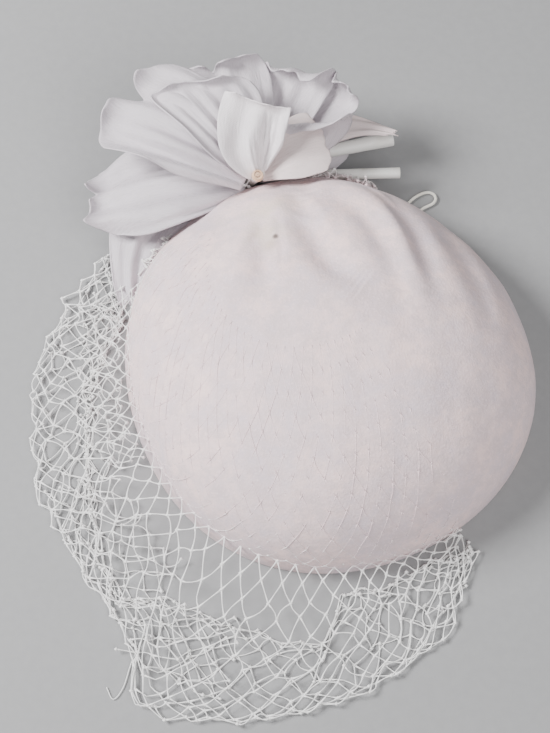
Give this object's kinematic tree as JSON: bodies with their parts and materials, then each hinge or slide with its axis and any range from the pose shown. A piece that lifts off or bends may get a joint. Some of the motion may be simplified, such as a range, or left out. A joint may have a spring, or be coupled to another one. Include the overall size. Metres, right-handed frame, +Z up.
{
  "type": "fascinator",
  "caption": "Velvet-covered dome cap worn as a fascinator, with a silk flower on stems at its back and a white diamond-mesh veil gathered over the crown and folded under in front.",
  "frame": {"origin": "middle of the whole object's box, on the surface that the rim rests on", "axes": "+Z up out of the cap's top, +Y towards the flower at the back, the veil spreads towards -Y and -X"},
  "size_m": [0.2224, 0.2906, 0.0641],
  "materials": {
    "velvet": "off-white short-pile velvet, matt with a soft nap, slightly pink in the shade, with a few faint beige marks at the gathers",
    "net": "white stiffened diamond-mesh veiling with small fluffed knots",
    "satin": "white stiffened satin with fine pressed veins, lilac-grey in the shade",
    "petal_base": "bound petal bases, matt off-white",
    "stem_wrap": "smooth white covered flower stem with a cut end",
    "elastic": "thin round white hat elastic",
    "binding_thread": "wound thread with dried glue, beige-orange"
  },
  "bodies": {
    "root": {"crown": "velvet", "veil": "net", "calyx": "petal_base", "binding": "binding_thread", "elastic_loop": "elastic", "petal_under_left": "satin", "petal_under_back": "satin", "petal_under_right": "satin", "petal_tab": "satin", "petal_far_right": "satin", "petal_far": "satin", "petal_right": "satin", "petal_lower_left": "satin", "petal_lip": "satin", "petal_crest": "satin", "petal_grey": "satin", "petal_upper": "satin", "petal_big_left": "satin", "petal_bright": "satin", "stem_upper": "stem_wrap", "stem_lower": "stem_wrap"}
  },
  "joints": []
}
